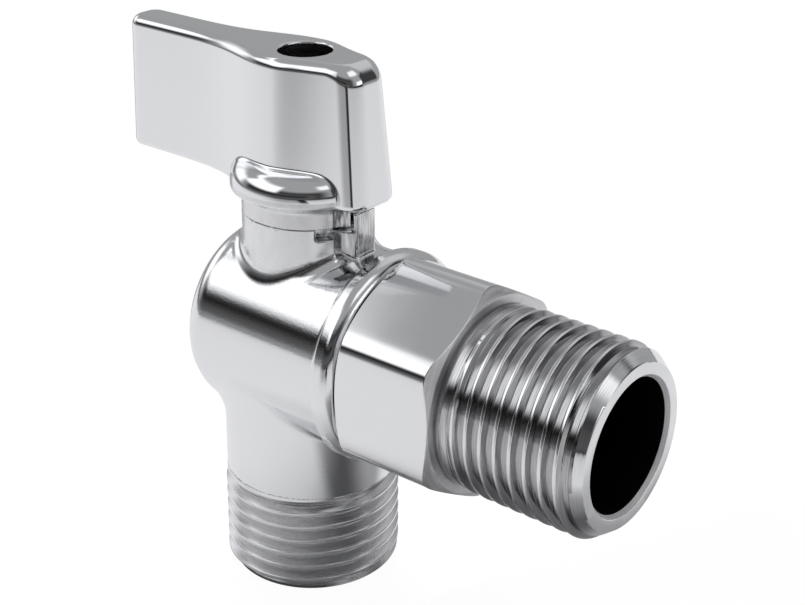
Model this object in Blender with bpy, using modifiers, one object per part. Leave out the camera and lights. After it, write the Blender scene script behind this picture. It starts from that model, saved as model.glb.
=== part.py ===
"""Angle stop valve with a quarter-turn ball, a threaded inlet and a threaded outlet.

The inlet runs along +X, the stem stands along +Z and the outlet hangs along -Z. Every piece is
built around the crossing of those axes. The model's origin is the centre of the inlet's end face.
All sizes are in metres.
"""

import math

import bmesh
import bpy
from mathutils import Matrix, Vector

# Gaps
SEATING_GAP = 0.0003
RUNNING_GAP = 0.0003

# Pipe threads, half inch parallel, the same on the inlet and the outlet
THREAD_RADIUS = 0.010478
THREAD_PITCH = 0.001814
THREAD_DEPTH = 0.00116
THREAD_CREST = 0.00045
THREAD_ROOT_LAND = 0.0003

# Ball and seats
BALL_RADIUS = 0.0078
PORT_RADIUS = 0.0043
SEAT_BACK = 0.0011
SEAT_DEPTH = 0.0043
SLOT_DEPTH = 0.0026

# Body
BARREL_WALL = 0.0031
REAR_WALL = 0.0013
REAR_ROUND = 0.0036
MOUTH_SHOULDER = 0.0008
MOUTH_DEPTH = 0.0034
BEAD_HEIGHT = 0.0009
BEAD_WIDTH = 0.0026
BEAD_ROUND = 0.0013
OUTLET_SHANK_LENGTH = 0.00593
OUTLET_THREAD_LENGTH = 0.0125
OUTLET_LEAD_IN = 0.0007
OUTLET_BORE_RADIUS = 0.0072
OUTLET_BORE_DEPTH = 0.0155
NECK_RADIUS = 0.00753
NECK_HEIGHT = 0.0036
NECK_SPIGOT_RADIUS = 0.0062
NECK_SPIGOT_HEIGHT = 0.0021
NECK_RELIEF_DEPTH = 0.0013
NECK_RELIEF_HALF_ANGLE = math.radians(42)
POST_WIDTH = 0.0033
POST_PROUD = 0.00117

# Inlet connector
SEAL_THICKNESS = 0.0009
SEAL_WIDTH = 0.0007
HEX_ACROSS_FLATS = 0.0228
HEX_LENGTH = 0.0122
HEX_CHAMFER_ANGLE = math.radians(27)
HEX_FACE_INSET = 0.0002
UNDERCUT_WIDTH = 0.0006
THREAD_RING_WIDTH = 0.0013
THREAD_RING_STEP = 0.0002
INLET_THREAD_LENGTH = 0.0158
INLET_END_CHAMFER = 0.0015
INLET_BORE_RADIUS = 0.0077
INLET_BORE_DEPTH = 0.024
BORE_TAPER_LENGTH = 0.003

# Stem and its seals
STEM_RADIUS = 0.004
STEM_FLANGE_WIDTH = 0.0013
STEM_FLANGE_THICKNESS = 0.001
THRUST_WASHER_THICKNESS = 0.0008
TANG_THICKNESS = 0.0024
TANG_WIDTH = 0.007
RING_SECTION_RADIUS = 0.0006
RING_SQUEEZE_GAP = 0.0002
GROOVE_LAND = 0.0008
DRIVE_FLAT_DEPTH = 0.0013
DRIVE_LENGTH = 0.0043

# Handle
SKIRT_STRAIGHT = 0.0008
SKIRT_TAPER = 0.0015
COLLAR_PROUD = 0.00123
COLLAR_HEIGHT = 0.0031
COLLAR_ROUND = 0.0012
HANDLE_HEIGHT = 0.0161
HANDLE_ROUND = 0.0009
WING_REACH = 0.02665
WING_HALF_WIDTH = 0.00265
WING_END_DRAFT = 0.00015
WING_DRAFT = 0.0004
HUB_CREST = -0.0007
HUB_HALF_WIDTH = 0.0054
HUB_DRAFT = 0.0007
HUB_FLARE = 0.0055
HUB_SOFTNESS = 0.0008
NOSE_REACH = 0.0105
NOSE_HALF_WIDTH = 0.00245
NOSE_END_DRAFT = 0.0013
SCREW_LEDGE = 0.002

# Handle screw and its washer
SCREW_RADIUS = 0.002
SCREW_HEAD_WIDTH = 0.00075
SCREW_HEAD_HEIGHT = 0.0024
SCREW_REACH = 0.0052
RECESS_WIDTH = 0.0011
RECESS_DEPTH = 0.0013
SPRING_WASHER_THICKNESS = 0.0008
SPRING_WASHER_SPLIT = 0.0007

QUARTER_TURN = math.radians(90)
LARGE_SEGMENTS = 32
SMALL_SEGMENTS = 24
ARC_STEPS = 4
CUT_MARGIN = 0.001
QUARTER_FACET = Matrix.Rotation(math.pi / (2 * LARGE_SEGMENTS), 4, "Z")

# Stack along the inlet axis, from the ball outwards
CAVITY_RADIUS = BALL_RADIUS + SEATING_GAP + RUNNING_GAP
BARREL_RADIUS = CAVITY_RADIUS + BARREL_WALL
SEAT_FACE = BALL_RADIUS + SEAT_BACK
REAR_END = SEAT_FACE + SEATING_GAP + REAR_WALL
MOUTH_FLOOR = SEAT_FACE
SEAL_LEDGE = MOUTH_FLOOR + MOUTH_DEPTH
CONNECTOR_START = MOUTH_FLOOR + SEATING_GAP
SPIGOT_RADIUS = CAVITY_RADIUS + MOUTH_SHOULDER
SEAL_START = SEAL_LEDGE + SEATING_GAP
SEAL_BORE = SPIGOT_RADIUS + SEATING_GAP + SEAL_WIDTH + SEATING_GAP
HEX_START = SEAL_START + SEAL_THICKNESS + SEATING_GAP
MOUTH_FACE = HEX_START - SEATING_GAP
HEX_END = HEX_START + HEX_LENGTH
THREAD_ROOT = THREAD_RADIUS - THREAD_DEPTH
INLET_THREAD_START = HEX_END + UNDERCUT_WIDTH + THREAD_RING_WIDTH
INLET_END = INLET_THREAD_START + INLET_THREAD_LENGTH
FACE_RADIUS = THREAD_RADIUS - INLET_END_CHAMFER
CROSSING = Vector((-INLET_END, 0.0, 0.0))

# Stack down the outlet
OUTLET_SHANK_RADIUS = THREAD_RADIUS - THREAD_RING_STEP
OUTLET_THREAD_TOP = -BARREL_RADIUS - OUTLET_SHANK_LENGTH
OUTLET_END = OUTLET_THREAD_TOP - OUTLET_THREAD_LENGTH

# Stack up the stem
FLANGE_FOOT = CAVITY_RADIUS
FLANGE_TOP = FLANGE_FOOT + STEM_FLANGE_THICKNESS
FLANGE_RADIUS = STEM_RADIUS + STEM_FLANGE_WIDTH
WASHER_FOOT = FLANGE_TOP + SEATING_GAP
NECK_INNER_SHOULDER = WASHER_FOOT + THRUST_WASHER_THICKNESS + SEATING_GAP
STEM_BORE = STEM_RADIUS + RUNNING_GAP
RING_RADIUS = STEM_BORE - RING_SQUEEZE_GAP - RING_SECTION_RADIUS
GROOVE_ROOT = RING_RADIUS - RING_SECTION_RADIUS - RING_SQUEEZE_GAP
GROOVE_WIDTH = 2 * (RING_SECTION_RADIUS + RING_SQUEEZE_GAP)
LOWER_GROOVE = NECK_INNER_SHOULDER + GROOVE_LAND
UPPER_GROOVE = LOWER_GROOVE + GROOVE_WIDTH + GROOVE_LAND
TANG_FOOT = BALL_RADIUS - SLOT_DEPTH + RUNNING_GAP
NECK_SHOULDER = BARREL_RADIUS + NECK_HEIGHT
NECK_TOP = NECK_SHOULDER + NECK_SPIGOT_HEIGHT
STEM_SHOULDER = max(NECK_TOP, UPPER_GROOVE + GROOVE_WIDTH + GROOVE_LAND)
HANDLE_FOOT = STEM_SHOULDER + SEATING_GAP
HANDLE_TOP = HANDLE_FOOT + HANDLE_HEIGHT
STEM_TOP = STEM_SHOULDER + DRIVE_LENGTH
DRIVE_SIDE = 2 * (STEM_RADIUS - DRIVE_FLAT_DEPTH)
SOCKET_TOP = STEM_TOP + SEATING_GAP
LEDGE_TOP = SOCKET_TOP + SCREW_LEDGE
SPRING_WASHER_FOOT = LEDGE_TOP + SEATING_GAP
SCREW_HEAD_FOOT = SPRING_WASHER_FOOT + SPRING_WASHER_THICKNESS + SEATING_GAP
SCREW_HEAD_RADIUS = SCREW_RADIUS + SCREW_HEAD_WIDTH
SCREW_TIP = STEM_TOP - SCREW_REACH
WELL_RADIUS = SCREW_HEAD_RADIUS + SEATING_GAP
SKIRT_FOOT = NECK_SHOULDER + SEATING_GAP
COLLAR_RADIUS = NECK_RADIUS + COLLAR_PROUD
COLLAR_FOOT = SKIRT_FOOT + SKIRT_STRAIGHT + SKIRT_TAPER
COLLAR_TOP = COLLAR_FOOT + COLLAR_HEIGHT
POST_REACH = NECK_RADIUS + POST_PROUD
STOP_FACE = POST_WIDTH / 2 + SEATING_GAP


def arc(center, radius, start, end):
    """Points of an arc in a profile plane, with angles in degrees."""
    points = []
    for step in range(ARC_STEPS + 1):
        angle = math.radians(start + (end - start) * step / ARC_STEPS)
        points.append((center[0] + radius * math.cos(angle), center[1] + radius * math.sin(angle)))
    return points


def add_object(name, mesh, collection, parent):
    """Put a mesh into the scene as an object that hangs on an empty."""
    obj = bpy.data.objects.new(name, mesh)
    obj.parent = parent
    collection.objects.link(obj)
    return obj


def turned(name, profile, collection, parent, along_x=False, closed=False, segments=LARGE_SEGMENTS):
    """Turn a profile of (radius, height) points, listed down its outer side, about the Z or X axis."""
    count = len(profile)
    edges = [(i, i + 1) for i in range(count - 1)]
    if closed:
        edges.append((count - 1, 0))
    mesh = bpy.data.meshes.new(name)
    mesh.from_pydata([(radius, 0.0, height) for radius, height in profile], edges, [])
    obj = add_object(name, mesh, collection, parent)
    if along_x:
        obj.rotation_euler = (0.0, math.pi / 2, 0.0)
    screw = obj.modifiers.new("turn", "SCREW")
    screw.steps = segments
    screw.render_steps = segments
    screw.use_merge_vertices = True
    screw.merge_threshold = 0.000001
    return obj


def block(name, low, high, collection, parent):
    """A box between two corners."""
    mesh = bpy.data.meshes.new(name)
    shape = bmesh.new()
    bmesh.ops.create_cube(shape, size=1.0)
    size = Vector(high) - Vector(low)
    bmesh.ops.scale(shape, vec=size, verts=shape.verts)
    bmesh.ops.translate(shape, vec=(Vector(high) + Vector(low)) / 2, verts=shape.verts)
    shape.to_mesh(mesh)
    shape.free()
    return add_object(name, mesh, collection, parent)


def baked(obj, cap_ends=False):
    """Replace an object by the mesh that its modifiers or its curve make, welded and closed."""
    bpy.context.view_layer.update()
    graph = bpy.context.evaluated_depsgraph_get()
    mesh = bpy.data.meshes.new_from_object(obj.evaluated_get(graph))
    shape = bmesh.new()
    shape.from_mesh(mesh)
    bmesh.ops.remove_doubles(shape, verts=shape.verts, dist=0.000001)
    if cap_ends:
        bmesh.ops.holes_fill(shape, edges=[edge for edge in shape.edges if edge.is_boundary])
    bmesh.ops.recalc_face_normals(shape, faces=shape.faces)
    shape.to_mesh(mesh)
    shape.free()
    solid = bpy.data.objects.new(obj.name, mesh)
    solid.parent = obj.parent
    solid.location = obj.location
    solid.rotation_euler = obj.rotation_euler
    obj.users_collection[0].objects.link(solid)
    name = obj.name
    bpy.data.objects.remove(obj)
    solid.name = name
    return solid


def plate(name, outline, foot, top, collection, parent):
    """A flat outline in the XY plane, given a thickness from foot to top."""
    curve = bpy.data.curves.new(name, "CURVE")
    curve.dimensions = "2D"
    curve.fill_mode = "BOTH"
    curve.extrude = (top - foot) / 2
    spline = curve.splines.new("POLY")
    spline.points.add(len(outline) - 1)
    for point, (x, y) in zip(spline.points, outline):
        point.co = (x, y, 0.0, 1.0)
    spline.use_cyclic_u = True
    obj = add_object(name, curve, collection, parent)
    obj.location = (0.0, 0.0, (foot + top) / 2)
    return baked(obj)


def helix_ridge(name, start, length, collection, parent, along_x=False):
    """One right-hand thread ridge, a trapezium carried up a helix, with its flanks run on into the core."""
    sunk = THREAD_ROOT - THREAD_DEPTH / 4
    crest_half = THREAD_CREST / 2
    root_half = (THREAD_PITCH - THREAD_ROOT_LAND) / 2
    foot_half = crest_half + (root_half - crest_half) * (THREAD_RADIUS - sunk) / THREAD_DEPTH
    profile = [(sunk, start + foot_half), (THREAD_RADIUS, start + crest_half),
               (THREAD_RADIUS, start - crest_half), (sunk, start - foot_half)]
    ridge = turned(name, profile, collection, parent, along_x, closed=True)
    half_step = Matrix.Rotation(math.pi / LARGE_SEGMENTS, 4, "Z")
    ridge.data.transform(half_step)
    ridge.modifiers["turn"].screw_offset = THREAD_PITCH
    ridge.modifiers["turn"].iterations = max(1, math.ceil(length / THREAD_PITCH))
    ridge.modifiers["turn"].use_merge_vertices = False
    return baked(ridge, cap_ends=True)


def thread_trim(name, shoulder, end, lead_in, collection, parent, along_x=False):
    """The space that a thread ridge fills: it runs out of the core at the shoulder and at the end face."""
    reach = THREAD_RADIUS + CUT_MARGIN
    face = THREAD_ROOT - THREAD_DEPTH / 2
    toward_end = 1 if end > shoulder else -1
    run_out = toward_end * (reach - THREAD_ROOT) / 2
    rise = toward_end * lead_in * (reach - face) / (THREAD_RADIUS - face)
    space = [(0.0, end), (face, end), (reach, end - rise), (reach, shoulder + run_out),
             (face, shoulder), (0.0, shoulder)]
    if end < shoulder:
        space.reverse()
    trim = turned(name, space, collection, parent, along_x)
    trim.data.transform(QUARTER_FACET)
    return trim


def combine(target, operand, operation):
    """Add, cut or keep the operand's volume on the target with an exact Boolean."""
    modifier = target.modifiers.new(operand.name, "BOOLEAN")
    modifier.operation = operation
    modifier.solver = "EXACT"
    modifier.object = operand
    return target


def rounded(obj, width, limit_degrees):
    """Round the edges that are sharper than an angle."""
    bevel = obj.modifiers.new("round", "BEVEL")
    bevel.width = width
    bevel.segments = 3
    bevel.limit_method = "ANGLE"
    bevel.angle_limit = math.radians(limit_degrees)
    return obj


def finish(obj, color, metallic, roughness):
    """Give a piece its own material and smooth its round faces."""
    material = bpy.data.materials.new(obj.name)
    material.use_nodes = True
    shader = material.node_tree.nodes["Principled BSDF"]
    shader.inputs["Base Color"].default_value = (*color, 1.0)
    shader.inputs["Metallic"].default_value = metallic
    shader.inputs["Roughness"].default_value = roughness
    obj.data.materials.append(material)
    if obj.data.polygons:
        obj.data.shade_smooth()
        obj.data.set_sharp_from_angle(angle=math.radians(30))


CHROME = ((0.80, 0.81, 0.82), 1.0, 0.08)
BRASS = ((0.72, 0.55, 0.28), 1.0, 0.30)
STEEL = ((0.60, 0.60, 0.61), 1.0, 0.30)
SEAT_PLASTIC = ((0.88, 0.88, 0.86), 0.0, 0.45)
SEAL_RUBBER = ((0.03, 0.03, 0.03), 0.0, 0.70)


def make_valve_body(parts, cutters, crossing):
    """The forged body: barrel, outlet branch, stem neck and stop post, with its waterway and bores."""
    bead_radius = BARREL_RADIUS + BEAD_HEIGHT
    bead_back = MOUTH_FACE - BEAD_WIDTH
    bead_round = min(BEAD_ROUND, BEAD_WIDTH / 2)
    rear_round = min(REAR_ROUND, BARREL_RADIUS / 2)
    barrel = [(0.0, MOUTH_FACE)]
    barrel += arc((bead_radius - bead_round, MOUTH_FACE - bead_round), bead_round, 90, 0)
    barrel += [(bead_radius, bead_back), (BARREL_RADIUS, bead_back - BEAD_HEIGHT)]
    barrel += arc((BARREL_RADIUS - rear_round, rear_round - REAR_END), rear_round, 0, -90)
    barrel.append((0.0, -REAR_END))
    body = turned("valve_body", barrel, parts, crossing, along_x=True)

    run_out = THREAD_DEPTH / 2
    outlet = [(0.0, 0.0), (OUTLET_SHANK_RADIUS, 0.0), (OUTLET_SHANK_RADIUS, OUTLET_THREAD_TOP),
              (THREAD_ROOT, OUTLET_THREAD_TOP - run_out), (THREAD_ROOT, OUTLET_END), (0.0, OUTLET_END)]
    combine(body, turned("outlet_core", outlet, cutters, crossing), "UNION")

    ridge = helix_ridge("outlet_ridge", OUTLET_END, OUTLET_THREAD_LENGTH, cutters, crossing)
    trim = thread_trim("outlet_thread_trim", OUTLET_THREAD_TOP, OUTLET_END, OUTLET_LEAD_IN,
                       cutters, crossing)
    combine(ridge, trim, "INTERSECT")
    combine(body, ridge, "UNION")

    neck = [(0.0, NECK_TOP), (NECK_SPIGOT_RADIUS, NECK_TOP), (NECK_SPIGOT_RADIUS, NECK_SHOULDER),
            (NECK_RADIUS, NECK_SHOULDER), (NECK_RADIUS, 0.0), (0.0, 0.0)]
    combine(body, turned("neck", neck, cutters, crossing), "UNION")
    relief = []
    for radius, turn in ((NECK_SPIGOT_RADIUS, 1), (NECK_RADIUS + CUT_MARGIN, -1)):
        for step in range(-ARC_STEPS, ARC_STEPS + 1):
            angle = turn * NECK_RELIEF_HALF_ANGLE * step / ARC_STEPS
            relief.append((radius * math.cos(angle), radius * math.sin(angle)))
    relief_floor = NECK_SHOULDER - NECK_RELIEF_DEPTH
    relief_cut = plate("neck_relief", relief, relief_floor, NECK_SHOULDER + CUT_MARGIN, cutters, crossing)
    combine(body, relief_cut, "DIFFERENCE")
    post_low = (NECK_SPIGOT_RADIUS - CUT_MARGIN, -POST_WIDTH / 2, BARREL_RADIUS - NECK_HEIGHT / 2)
    post_high = (POST_REACH, POST_WIDTH / 2, NECK_TOP - SEATING_GAP)
    post = block("stop_post", post_low, post_high, cutters, crossing)
    combine(body, rounded(post, SEATING_GAP, 30), "UNION")

    mouth = SPIGOT_RADIUS + SEATING_GAP
    chamber = [(0.0, MOUTH_FACE + CUT_MARGIN), (SEAL_BORE, MOUTH_FACE + CUT_MARGIN), (SEAL_BORE, SEAL_LEDGE),
               (mouth, SEAL_LEDGE), (mouth, MOUTH_FLOOR), (CAVITY_RADIUS, MOUTH_FLOOR),
               (CAVITY_RADIUS, -SEAT_FACE - SEATING_GAP), (0.0, -SEAT_FACE - SEATING_GAP)]
    chamber_cut = turned("ball_chamber", chamber, cutters, crossing, along_x=True)
    chamber_cut.data.transform(QUARTER_FACET)
    combine(body, chamber_cut, "DIFFERENCE")
    way_top = OUTLET_END + OUTLET_BORE_DEPTH
    taper = abs(OUTLET_BORE_RADIUS - PORT_RADIUS)
    outlet_way = [(0.0, 0.0), (PORT_RADIUS, 0.0), (PORT_RADIUS, way_top),
                  (OUTLET_BORE_RADIUS, way_top - taper), (OUTLET_BORE_RADIUS, OUTLET_END - CUT_MARGIN),
                  (0.0, OUTLET_END - CUT_MARGIN)]
    combine(body, turned("outlet_way", outlet_way, cutters, crossing), "DIFFERENCE")
    recess = FLANGE_RADIUS + RUNNING_GAP
    stem_way = [(0.0, NECK_TOP + CUT_MARGIN), (STEM_BORE, NECK_TOP + CUT_MARGIN),
                (STEM_BORE, NECK_INNER_SHOULDER), (recess, NECK_INNER_SHOULDER), (recess, 0.0), (0.0, 0.0)]
    combine(body, turned("stem_way", stem_way, cutters, crossing), "DIFFERENCE")
    finish(body, *CHROME)


def make_inlet_connector(parts, cutters, crossing):
    """The end piece: spigot in the barrel's mouth, spanner hexagon, male thread and stepped bore."""
    ring = THREAD_RADIUS - THREAD_RING_STEP
    core_chamfer = max(0.0, THREAD_ROOT - FACE_RADIUS)
    core = [(0.0, INLET_END), (THREAD_ROOT - core_chamfer, INLET_END),
            (THREAD_ROOT, INLET_END - core_chamfer), (THREAD_ROOT, INLET_THREAD_START),
            (ring, INLET_THREAD_START), (ring, HEX_END + UNDERCUT_WIDTH),
            (THREAD_ROOT, HEX_END + UNDERCUT_WIDTH), (THREAD_ROOT, HEX_END),
            (SPIGOT_RADIUS, HEX_END - CUT_MARGIN), (SPIGOT_RADIUS, CONNECTOR_START), (0.0, CONNECTOR_START)]
    connector = turned("inlet_connector", core, parts, crossing, along_x=True)

    corner = HEX_ACROSS_FLATS / math.sqrt(3)
    mesh = bpy.data.meshes.new("hexagon")
    shape = bmesh.new()
    bmesh.ops.create_cone(shape, cap_ends=True, segments=6, radius1=corner, radius2=corner,
                          depth=HEX_LENGTH, matrix=Matrix.Rotation(QUARTER_TURN, 4, "Z"))
    shape.to_mesh(mesh)
    shape.free()
    hexagon = add_object("hexagon", mesh, cutters, crossing)
    hexagon.location = ((HEX_START + HEX_END) / 2, 0.0, 0.0)
    hexagon.rotation_euler = (0.0, math.pi / 2, 0.0)
    face = HEX_ACROSS_FLATS / 2 - HEX_FACE_INSET
    reach = corner + CUT_MARGIN
    fall = (reach - face) * math.tan(HEX_CHAMFER_ANGLE)
    turned_ends = [(0.0, HEX_END), (face, HEX_END), (reach, HEX_END - fall), (reach, HEX_START + fall),
                   (face, HEX_START), (0.0, HEX_START)]
    combine(hexagon, turned("hexagon_trim", turned_ends, cutters, crossing, along_x=True), "INTERSECT")
    combine(connector, hexagon, "UNION")

    ridge = helix_ridge("inlet_ridge", INLET_THREAD_START, INLET_THREAD_LENGTH, cutters, crossing,
                        along_x=True)
    trim = thread_trim("inlet_thread_trim", INLET_THREAD_START, INLET_END, INLET_END_CHAMFER + SEATING_GAP,
                       cutters, crossing, along_x=True)
    combine(ridge, trim, "INTERSECT")
    combine(connector, ridge, "UNION")

    bore_floor = INLET_END - INLET_BORE_DEPTH
    bore = [(0.0, INLET_END + CUT_MARGIN), (INLET_BORE_RADIUS, INLET_END + CUT_MARGIN),
            (INLET_BORE_RADIUS, bore_floor), (PORT_RADIUS, bore_floor - BORE_TAPER_LENGTH),
            (PORT_RADIUS, CONNECTOR_START - CUT_MARGIN), (0.0, CONNECTOR_START - CUT_MARGIN)]
    combine(connector, turned("inlet_way", bore, cutters, crossing, along_x=True), "DIFFERENCE")
    finish(connector, *CHROME)


def make_connector_seal(parts, crossing):
    """Flat washer in a ledge of the barrel's mouth, squeezed by the hexagon."""
    inner = SPIGOT_RADIUS + SEATING_GAP
    outer = inner + SEAL_WIDTH
    far = SEAL_START + SEAL_THICKNESS
    ring = [(inner, far), (outer, far), (outer, SEAL_START), (inner, SEAL_START)]
    finish(turned("connector_seal", ring, parts, crossing, along_x=True, closed=True), *SEAL_RUBBER)


def make_seats(parts, crossing):
    """Two like seat rings that cup the ball, one on each side of it."""
    cup = BALL_RADIUS + SEATING_GAP
    inner = PORT_RADIUS + SEATING_GAP
    outer = CAVITY_RADIUS - SEATING_GAP
    near = SEAT_FACE - SEAT_DEPTH
    start = math.degrees(math.atan2(near, math.sqrt(cup * cup - near * near)))
    end = math.degrees(math.acos(inner / cup))
    ring = [(inner, SEAT_FACE), (outer, SEAT_FACE), (outer, near)]
    ring += arc((0.0, 0.0), cup, start, end)
    front = turned("seat_front", ring, parts, crossing, along_x=True, closed=True)
    rear = turned("seat_rear", ring, parts, crossing, along_x=True, closed=True)
    rear.rotation_euler = (0.0, -math.pi / 2, 0.0)
    for seat in (front, rear):
        finish(seat, *SEAT_PLASTIC)


def make_ball(parts, cutters, stem_axis):
    """Ball with a port from its +X side down to its bottom, and a slot for the tang across its top."""
    mesh = bpy.data.meshes.new("ball")
    shape = bmesh.new()
    bmesh.ops.create_uvsphere(shape, u_segments=LARGE_SEGMENTS, v_segments=LARGE_SEGMENTS // 2,
                              radius=BALL_RADIUS)
    shape.to_mesh(mesh)
    shape.free()
    ball = add_object("ball", mesh, parts, stem_axis)
    reach = BALL_RADIUS + CUT_MARGIN
    port_end = -PORT_RADIUS / 2
    side_port = [(0.0, reach), (PORT_RADIUS, reach), (PORT_RADIUS, port_end), (0.0, port_end)]
    combine(ball, turned("ball_side_port", side_port, cutters, stem_axis, along_x=True), "DIFFERENCE")
    foot_port = [(0.0, 0.0), (PORT_RADIUS, 0.0), (PORT_RADIUS, -reach), (0.0, -reach)]
    combine(ball, turned("ball_foot_port", foot_port, cutters, stem_axis), "DIFFERENCE")
    half_slot = TANG_THICKNESS / 2 + RUNNING_GAP
    slot = block("ball_slot", (-half_slot, -reach, BALL_RADIUS - SLOT_DEPTH), (half_slot, reach, reach),
                 cutters, stem_axis)
    combine(ball, slot, "DIFFERENCE")
    finish(ball, *CHROME)


def make_stem(parts, cutters, stem_axis):
    """Stem with a tang for the ball's slot, a flange, ring grooves, a square drive and a tapped hole."""
    profile = [(0.0, STEM_SHOULDER), (STEM_RADIUS, STEM_SHOULDER)]
    for groove in (UPPER_GROOVE, LOWER_GROOVE):
        top = groove + GROOVE_WIDTH
        profile += [(STEM_RADIUS, top), (GROOVE_ROOT, top), (GROOVE_ROOT, groove), (STEM_RADIUS, groove)]
    profile += [(STEM_RADIUS, FLANGE_TOP), (FLANGE_RADIUS, FLANGE_TOP), (FLANGE_RADIUS, FLANGE_FOOT),
                (0.0, FLANGE_FOOT)]
    stem = turned("stem", profile, parts, stem_axis, segments=SMALL_SEGMENTS)
    half = DRIVE_SIDE / 2
    drive = block("stem_drive", (-half, -half, STEM_SHOULDER - GROOVE_LAND / 2), (half, half, STEM_TOP),
                  cutters, stem_axis)
    combine(stem, drive, "UNION")
    tang = block("stem_tang", (-TANG_THICKNESS / 2, -TANG_WIDTH / 2, TANG_FOOT),
                 (TANG_THICKNESS / 2, TANG_WIDTH / 2, (FLANGE_FOOT + FLANGE_TOP) / 2), cutters, stem_axis)
    combine(stem, tang, "UNION")
    hole = SCREW_RADIUS + SEATING_GAP
    floor = SCREW_TIP - SEATING_GAP
    tapped = [(0.0, STEM_TOP + CUT_MARGIN), (hole, STEM_TOP + CUT_MARGIN), (hole, floor), (0.0, floor)]
    tapped_hole = turned("stem_tapped_hole", tapped, cutters, stem_axis, segments=SMALL_SEGMENTS)
    combine(stem, tapped_hole, "DIFFERENCE")
    finish(stem, *BRASS)


def make_stem_seals(parts, crossing, stem_axis):
    """Thrust washer above the stem's flange, and the two ring seals in the stem's grooves."""
    top = WASHER_FOOT + THRUST_WASHER_THICKNESS
    section = [(STEM_BORE, top), (FLANGE_RADIUS, top), (FLANGE_RADIUS, WASHER_FOOT), (STEM_BORE, WASHER_FOOT)]
    washer = turned("stem_thrust_washer", section, parts, crossing, closed=True, segments=SMALL_SEGMENTS)
    finish(washer, *SEAT_PLASTIC)
    for name, groove in (("stem_o_ring_lower", LOWER_GROOVE), ("stem_o_ring_upper", UPPER_GROOVE)):
        bpy.ops.mesh.primitive_torus_add(major_segments=SMALL_SEGMENTS, minor_segments=2 * ARC_STEPS,
                                         major_radius=RING_RADIUS, minor_radius=RING_SECTION_RADIUS)
        ring = bpy.context.object
        ring.name = name
        ring.users_collection[0].objects.unlink(ring)
        parts.objects.link(ring)
        ring.parent = stem_axis
        ring.location = (0.0, 0.0, groove + GROOVE_WIDTH / 2)
        finish(ring, *SEAL_RUBBER)


def handle_half_width(x, rise):
    """Half of the plan width at a share of the height: a wing, a hub that it flares into, a tapering nose."""
    wing = WING_HALF_WIDTH - WING_DRAFT * rise
    hub = HUB_HALF_WIDTH - HUB_DRAFT * rise
    nose = NOSE_HALF_WIDTH - HUB_DRAFT * rise
    offset = x - HUB_CREST
    if offset < 0:
        return wing + (hub - wing) * math.exp(-((offset / HUB_FLARE) ** 2))
    reach = NOSE_REACH - NOSE_END_DRAFT * rise - HUB_CREST
    fall = math.hypot(offset, HUB_SOFTNESS) - HUB_SOFTNESS
    return hub + (nose - hub) * fall / (math.hypot(reach, HUB_SOFTNESS) - HUB_SOFTNESS)


def handle_outline(rise):
    """The wing's closed plan outline at a share of its height, front side first."""
    tail = -(WING_REACH - WING_END_DRAFT * rise)
    nose = NOSE_REACH - NOSE_END_DRAFT * rise
    flare_steps = 2 * ARC_STEPS
    flare_start = HUB_CREST - 2 * HUB_FLARE
    stations = [tail]
    for step in range(flare_steps):
        stations.append(flare_start + (HUB_CREST - flare_start) * step / flare_steps)
    for step in range(ARC_STEPS + 1):
        stations.append(HUB_CREST + (nose - HUB_CREST) * step / ARC_STEPS)
    front = [(x, -handle_half_width(x, rise)) for x in stations]
    return front + [(x, -y) for x, y in reversed(front)]


def make_handle_blank(parts, stem_axis):
    """The wing as a drafted block between its outlines at the foot and at the top."""
    mesh = bpy.data.meshes.new("handle")
    shape = bmesh.new()
    rings = []
    for rise, height in ((0.0, HANDLE_FOOT), (1.0, HANDLE_TOP)):
        rings.append([shape.verts.new((x, y, height)) for x, y in handle_outline(rise)])
        shape.faces.new(rings[-1])
    foot, top = rings
    for index in range(len(foot)):
        shape.faces.new((foot[index - 1], foot[index], top[index], top[index - 1]))
    bmesh.ops.recalc_face_normals(shape, faces=shape.faces)
    shape.to_mesh(mesh)
    shape.free()
    return rounded(add_object("handle", mesh, parts, stem_axis), HANDLE_ROUND, 40)


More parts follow.
